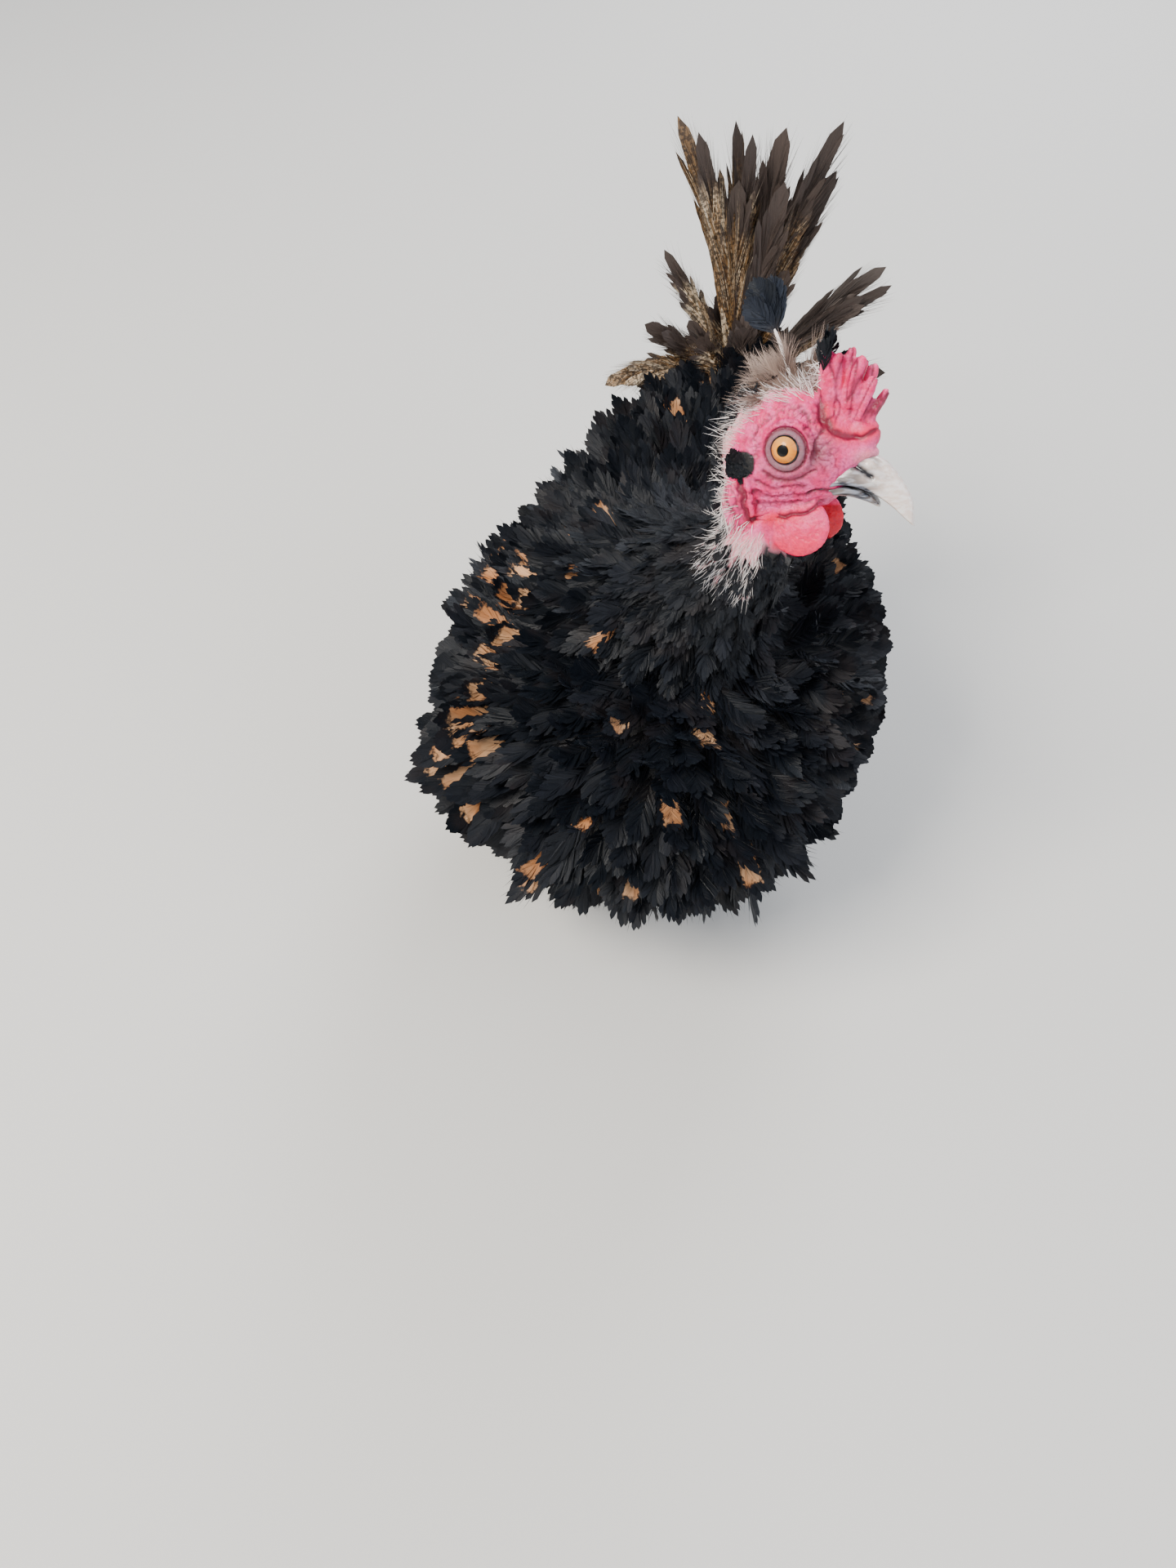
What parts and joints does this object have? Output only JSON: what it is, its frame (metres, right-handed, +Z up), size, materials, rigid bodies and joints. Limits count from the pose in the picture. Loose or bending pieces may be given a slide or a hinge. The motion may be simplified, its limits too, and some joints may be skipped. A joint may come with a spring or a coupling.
{
  "type": "frizzle crested hen",
  "caption": "Life-size still model of a black and gold frizzle-feathered crested hen standing with its head turned to its left.",
  "frame": {"origin": "on the floor under the middle of the whole bird's box", "axes": "+Z up, -Y the way the body faces, +X the bird's own left"},
  "size_m": [0.219, 0.2916, 0.3104],
  "materials": {
    "feather": "black feather with a soft blue-green sheen and tan centres",
    "tail": "frayed black, brown and gold-peppered feather",
    "crest": "grey-brown down and one dark vane on a white quill",
    "face": "bare wrinkled pink-red skin",
    "comb": "pebbled waxy red skin",
    "lobe": "wrinkled pink skin",
    "horn": "smooth cream horn with slate streaks",
    "eye": "wet orange iris with a black pupil",
    "leg": "slate-grey scales"
  },
  "bodies": {
    "root": {"torso": "feather", "neck": "feather", "head": "face", "upper_bill": "horn", "lower_bill": "horn", "comb": "comb", "crest": "crest", "wattle_left": "comb", "wattle_right": "comb", "earlobe_left": "lobe", "earlobe_right": "lobe", "ear_tuft_left": "feather", "ear_tuft_right": "feather", "eye_left": "eye", "eye_right": "eye", "wing_left": "feather", "wing_right": "feather", "tail": "tail", "thigh_left": "feather", "thigh_right": "feather", "shank_left": "leg", "shank_right": "leg", "foot_left": "leg", "foot_right": "leg"}
  },
  "joints": []
}
